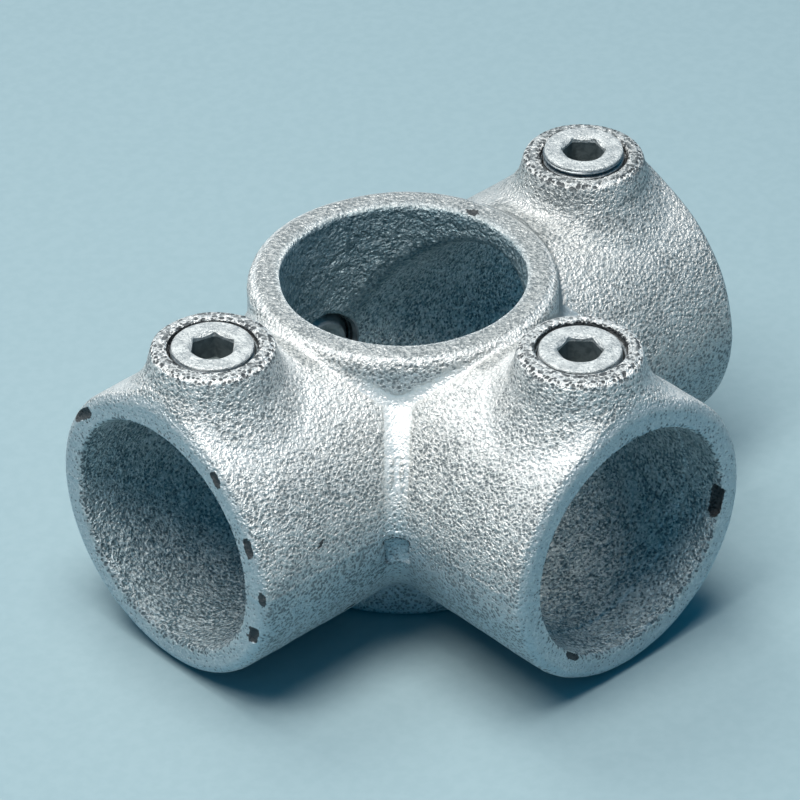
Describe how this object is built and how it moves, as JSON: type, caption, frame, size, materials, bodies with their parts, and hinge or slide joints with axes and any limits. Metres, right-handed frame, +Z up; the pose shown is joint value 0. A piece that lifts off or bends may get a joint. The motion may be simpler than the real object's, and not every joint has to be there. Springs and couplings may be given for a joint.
{
  "type": "tube clamp fitting",
  "caption": "Galvanised cast clamp fitting that joins a through upright tube and side tubes at right angles; a hex socket set screw grips each tube.",
  "frame": {"origin": "where the axis of the upright tube meets the axes of the three sockets", "axes": "+Z up along the upright tube, on the side of the socket set screws; +X out of the back socket, -X out of the left socket, -Y out of the front socket; the closed side faces +Y"},
  "size_m": [0.13, 0.1032, 0.0702],
  "materials": {
    "galvanised_casting": "hot-dip galvanised as cast, orange-peel texture",
    "plated_screw": "zinc plated steel"
  },
  "bodies": {
    "casting": {"body_casting": "galvanised_casting"},
    "left_screw": {"left_set_screw": "plated_screw"},
    "front_screw": {"front_set_screw": "plated_screw"},
    "back_screw": {"back_set_screw": "plated_screw"},
    "upright_screw": {"upright_set_screw": "plated_screw"}
  },
  "joints": [
    {"name": "left_screw_travel", "type": "slide", "parent": "casting", "child": "left_screw", "axis": [0, 0, -1], "range_m": [-0.0059, 0.00175]},
    {"name": "front_screw_travel", "type": "slide", "parent": "casting", "child": "front_screw", "axis": [0, 0, -1], "range_m": [-0.0058, 0.00205]},
    {"name": "back_screw_travel", "type": "slide", "parent": "casting", "child": "back_screw", "axis": [0, 0, -1], "range_m": [-0.0047, 0.00195]},
    {"name": "upright_screw_travel", "type": "slide", "parent": "casting", "child": "upright_screw", "axis": [0, -1, 0], "range_m": [-0.0072, 0.00045]}
  ]
}
